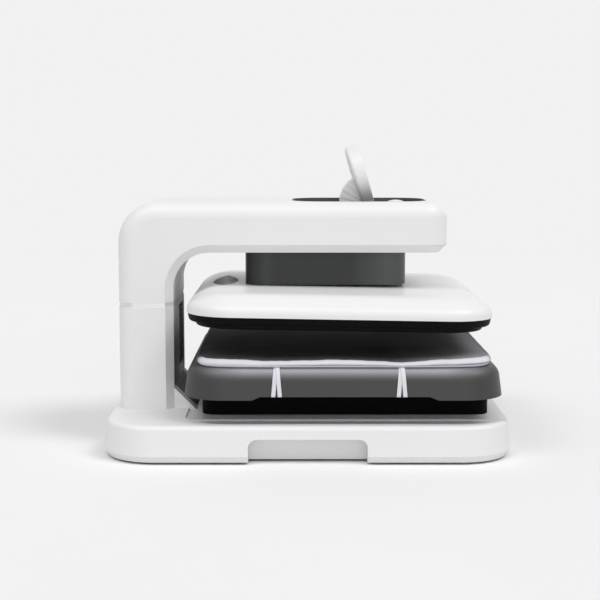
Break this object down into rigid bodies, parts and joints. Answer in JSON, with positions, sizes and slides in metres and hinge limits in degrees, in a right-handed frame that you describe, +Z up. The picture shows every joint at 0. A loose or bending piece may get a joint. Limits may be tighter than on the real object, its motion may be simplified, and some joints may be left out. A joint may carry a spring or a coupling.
{
  "type": "flat heat press",
  "caption": "Flat motor-driven craft heat press: white C-shaped housing, square heated platen on a ram, padded drawer tray, pop-up round display and start button.",
  "frame": {"origin": "on the table under the middle of the base", "axes": "+X towards the user's side where the drawer opens, +Y across the machine, +Z up"},
  "size_m": [0.544, 0.424, 0.4128],
  "materials": {
    "white_shell": "satin moulded, fine grain",
    "liner_white": "satin moulded",
    "charcoal": "fine moulded grain",
    "tray_grey": "fine moulded grain",
    "black_plastic": "matte",
    "rubber": "matte",
    "steel": "brushed",
    "painted_steel": "powder coat",
    "chrome": "polished",
    "brass": "turned",
    "board_green": "solder mask",
    "insulation": "pressed mica board",
    "heat_plate": "black non-stick coating",
    "pad_cloth": "silver coated heat-resistant cloth",
    "ribbon": "woven tape",
    "display_glass": "polished",
    "inset_grey": "fine grain"
  },
  "bodies": {
    "frame": {"base_shell": "white_shell", "base_plate": "steel", "rubber_feet": "rubber", "base_screws": "steel", "slide_housing": "black_plastic", "slide_rails": "steel", "frame_post": "painted_steel", "arm_beam": "painted_steel", "frame_bolts": "steel", "column_shell": "white_shell", "column_panel": "charcoal", "column_vent": "black_plastic", "trim_band": "chrome", "arm_shell": "white_shell", "arm_liner": "liner_white", "control_dish": "charcoal", "display_pin": "steel", "power_inlet": "black_plastic", "power_board": "board_green", "control_board": "board_green", "drive_motor": "painted_steel", "screw_gearbox": "painted_steel", "guide_bushes": "brass"},
    "ram": {"ram_shroud": "charcoal", "ram_plate": "steel", "lead_screw": "steel", "guide_rods": "steel", "level_clevis": "steel", "level_pin": "steel"},
    "platen": {"platen_shell": "white_shell", "platen_skirt": "black_plastic", "platen_inset": "inset_grey", "platen_bracket": "steel", "insulation_board": "insulation", "heating_element": "steel", "thermostat": "steel", "heat_plate": "heat_plate"},
    "tray": {"tray_shell": "tray_grey", "tray_plate": "steel", "tray_runners": "black_plastic", "tray_screws": "steel", "press_pad": "pad_cloth", "pad_ties": "ribbon"},
    "display": {"display_head": "white_shell", "display_glass": "display_glass", "display_hood": "white_shell"},
    "start_button": {"start_button": "white_shell"},
    "power_rocker": {"power_rocker": "black_plastic"}
  },
  "joints": [
    {"name": "ram_slide", "type": "slide", "parent": "frame", "child": "ram", "axis": [0, 0, 1], "range_m": [-0.034, 0]},
    {"name": "platen_level", "type": "hinge", "parent": "ram", "child": "platen", "pos_m": [0.0255, 0, 0.2077], "axis": [0, 1, 0], "range_deg": [-1, 0]},
    {"name": "tray_slide", "type": "slide", "parent": "frame", "child": "tray", "axis": [1, 0, 0], "range_m": [0, 0.2]},
    {"name": "display_tilt", "type": "hinge", "parent": "frame", "child": "display", "pos_m": [0.086, 0, 0.3292], "axis": [0, 1, 0], "range_deg": [-73, 0]},
    {"name": "button_press", "type": "slide", "parent": "frame", "child": "start_button", "axis": [0, 0, -1], "range_m": [0, 0.0025], "stiffness_N_per_m": 400, "springref_m": -0.002},
    {"name": "rocker_tilt", "type": "hinge", "parent": "frame", "child": "power_rocker", "pos_m": [-0.252, 0, 0.106], "axis": [0, 1, 0], "range_deg": [0, 16]}
  ],
  "couplings": [
    {"joint": "platen_level", "follows": "ram_slide", "rad_per_m": 0.5133}
  ]
}
